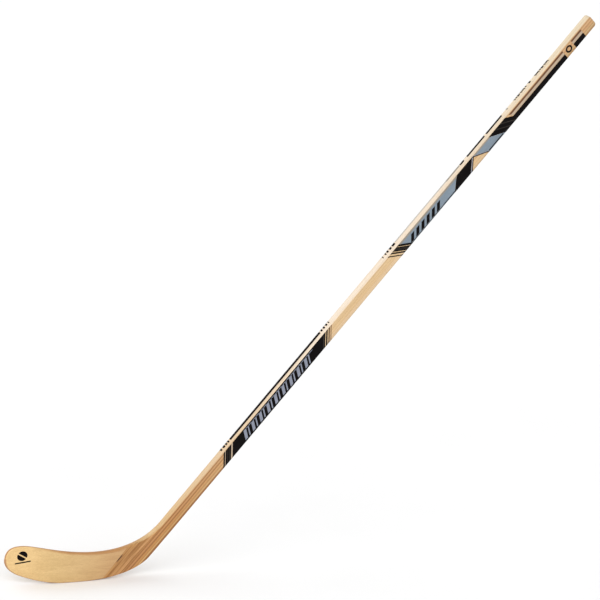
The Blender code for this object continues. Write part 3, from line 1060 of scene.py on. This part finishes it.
def margin_marks(black, pale, warm):
    """Where the film ends, just past the far front edge: a line, dots and dashes."""
    low, high = MARGIN
    wide = [(318, 322.3), (326.2, 332), (334.2, 338.8), (341, 345.2), (349, 643), (646.5, 651),
            (654, 658.5), (662, 666.3), (670, 672.3), (849, 851), (857.5, 860.5),
            (863.5, 867.8), (872, 877.5), (881, 889)]
    narrow = [(1105, 1118), (1128.5, 1185.5), (1191.5, 1242.5)]
    blocks = [slanted(a, b, 0.0, low, high) for a, b in wide]
    blocks += [slanted(a, b, 0.0, low, high - 1.6) for a, b in narrow]
    print_blocks("margin_marks", blocks, black, sides=FOREHAND)
    line = [slanted(892, 1060, 0.0, low, high - 3.2)]
    print_blocks("margin_line_pale", line, pale, sides=FOREHAND)
    grey = [slanted(a, b, 0.0, low, high - 2.2) for a, b in ((1060, 1103), (1258.5, 1263))]
    print_blocks("margin_line_grey", grey, warm, sides=FOREHAND)
    starts = [1274 + 5.2 * i for i in range(8)] + [1321, 1324.4]
    starts += [1342.5 + 5 * i for i in range(9)]
    blocks = []
    for i, start in enumerate(starts):
        blocks.append(slanted(start, start + 2.6 + i % 3, 0.6, low, high - 1.6 - i % 2))
    print_blocks("margin_dashes", blocks, black, sides=FOREHAND)


TOE_MARK = (260 * MM, 62 * MM)      # middle of the disc in the side view
MARK_RADIUS = 9.6 * MM
MARK_GAP = 1.3 * MM                 # how far each half is moved from the middle
MARK_TILT = 0.5
BAR_AT = (-2.4 * MM, -14 * MM)      # middle of the bar from the middle of the disc
BAR_HALF = (15.5 * MM, 1.5 * MM)
BAR_SLOPE = -0.2


def half_disc(half):
    """Side-view points of one half of a disc, moved away from the other half."""
    push = (1 - 2 * half) * MARK_GAP
    grid = []
    for i in range(7):
        radius = MARK_RADIUS * i / 6
        angles = [math.pi * (j / 18 + half) + MARK_TILT for j in range(19)]
        grid.append([(
            TOE_MARK[0] + radius * math.cos(x) - push * math.sin(MARK_TILT),
            TOE_MARK[1] + radius * math.sin(x) + push * math.cos(MARK_TILT),
        ) for x in angles])
    return grid


def blade_mark(black):
    """A disc split by a slanting gap, with a bar under it, on both faces of the blade."""
    bar = []
    for j in (-1, 0, 1):
        z = TOE_MARK[1] + BAR_AT[1] + j * BAR_HALF[1]
        steps = [BAR_HALF[0] * (i / 8 - 1) for i in range(17)]
        bar.append([(TOE_MARK[0] + BAR_AT[0] + x, z + BAR_SLOPE * x) for x in steps])
    meshes = []
    for grid in (half_disc(0), half_disc(1), bar):
        for sign in (1, -1):
            meshes.append(slab_mesh(
                "mark", grid,
                lambda t, z, sign=sign: sign * (outer_half(t, z) + INK_RISE),
                lambda t, z, sign=sign: sign * (outer_half(t, z) - INK_SINK),
            ))
    add_piece("blade_mark", joined("blade_mark", meshes), black)


def build_prints():
    black = ink("black_ink", "0c0909", 101, sheen=0.02)
    silver = ink("silver_ink", "868b99", 111, metallic=0.2, fleck=0.08)
    dark = ink("dark_grey_ink", "3d3832", 121, sheen=0.05)
    blue = ink("blue_grey_ink", "7c8995", 131, metallic=0.15, fleck=0.10)
    tan = ink("tan_ink", "b29f89", 141, fleck=0.08)
    brown = ink("brown_ink", "6c4a34", 151)
    warm = ink("warm_grey_ink", "8d867c", 161, fleck=0.10)
    pale = ink("pale_grey_ink", "aba69f", 171)
    lower_graphic(black, silver, tan, brown, dark)
    upper_graphic(black, silver, blue, warm, dark)
    handle_stripes(black, tan, brown)
    meshes = [film_mesh("ring", [ring()], side) for side in BOTH_SIDES]
    add_piece("handle_ring", joined("handle_ring", meshes), black)
    margin_marks(black, pale, warm)
    blade_mark(black)


# ---------------------------------------------------------------- floor, light and camera
VIEW_TURN = math.radians(41)        # round the shaft, from straight at the backhand side
VIEW_LEAN = math.radians(-10)       # the shaft's top leans away from the camera
VIEW_ROLL = math.radians(49.97)     # slope of the shaft in the picture
AIM = (656.5 * MM, 131.6 * MM)      # middle of the picture, in the shaft's plane
PICTURE_WIDTH = 1.2436              # metres across the picture at the shaft
LENS = 800.0                        # long, so that there is hardly any perspective
SENSOR = 36.0
NEAR_CLIP = 0.1
FAR_CLIP = 200.0
SKY_STRENGTH = 0.55
FLOOR_HALF = 60.0


def view_axes():
    """The camera's right, its up and the way from the stick back to it."""
    side = Vector((0, -1, 0))
    level = math.cos(VIEW_TURN) * side + math.sin(VIEW_TURN) * SHAFT_AHEAD
    back = math.cos(VIEW_LEAN) * level + math.sin(VIEW_LEAN) * SHAFT_UP
    length = math.cos(VIEW_LEAN) * SHAFT_UP - math.sin(VIEW_LEAN) * level
    depth = math.cos(VIEW_TURN) * SHAFT_AHEAD - math.sin(VIEW_TURN) * side
    right = math.cos(VIEW_ROLL) * length - math.sin(VIEW_ROLL) * depth
    up = math.sin(VIEW_ROLL) * length + math.cos(VIEW_ROLL) * depth
    return right, up, back


def add_camera():
    data = bpy.data.cameras.new("camera")
    data.lens = LENS
    data.sensor_width = SENSOR
    data.clip_start = NEAR_CLIP
    data.clip_end = FAR_CLIP
    camera = bpy.data.objects.new("camera", data)
    bpy.context.scene.collection.objects.link(camera)
    right, up, back = view_axes()
    distance = PICTURE_WIDTH * LENS / SENSOR
    turn = Matrix((right, up, back)).transposed().to_4x4()
    camera.matrix_world = Matrix.Translation(on_shaft(*AIM, 0.0) + back * distance) @ turn
    bpy.context.scene.camera = camera


def add_sun(name, towards, strength, angle):
    data = bpy.data.lights.new(name, "SUN")
    data.energy = strength
    data.angle = math.radians(angle)
    lamp = bpy.data.objects.new(name, data)
    lamp.rotation_mode = "QUATERNION"
    lamp.rotation_quaternion = Vector(towards).to_track_quat("Z", "Y")
    bpy.context.scene.collection.objects.link(lamp)


def add_lights():
    add_sun("key_light", (-0.80, -0.35, 0.60), 1.7, 50)
    add_sun("rear_light", (-0.34, 0.74, 0.57), 1.1, 60)
    add_sun("front_fill", (0.10, -0.95, 0.35), 0.9, 70)
    studio = bpy.data.worlds.new("studio")
    studio.use_nodes = True
    sky = studio.node_tree.nodes["Background"]
    sky.inputs["Color"].default_value = (1, 1, 1, 1)
    sky.inputs["Strength"].default_value = SKY_STRENGTH
    bpy.context.scene.world = studio
    bpy.context.scene.view_settings.view_transform = "Standard"


def add_floor():
    material, tree, shader = new_material("floor")
    point = tree.nodes.new("ShaderNodeTexCoord").outputs["Object"]
    noise = tree.nodes.new("ShaderNodeTexNoise")
    noise.inputs["Scale"].default_value = 3.0
    tree.links.new(point, noise.inputs["Vector"])
    tree.links.new(mix(tree, noise.outputs["Fac"], (0.86, 0.86, 0.86, 1), (0.9, 0.9, 0.9, 1)),
                   shader.inputs["Base Color"])
    shader.inputs["Roughness"].default_value = 0.9
    corners = [(x * FLOOR_HALF, y * FLOOR_HALF, 0) for x, y in ((-1, -1), (1, -1), (1, 1), (-1, 1))]
    mesh = bpy.data.meshes.new("floor")
    mesh.from_pydata(corners, [], [(0, 1, 2, 3)])
    mesh.materials.append(material)
    floor = bpy.data.objects.new("floor", mesh)
    bpy.context.scene.collection.objects.link(floor)


def main():
    cutter = slot_cutter()
    build_shaft(cutter)
    build_heel()
    build_blade()
    build_glue(cutter)
    bpy.data.objects.remove(cutter)
    build_prints()
    add_floor()
    add_lights()
    add_camera()


main()
bpy.context.view_layer.update()
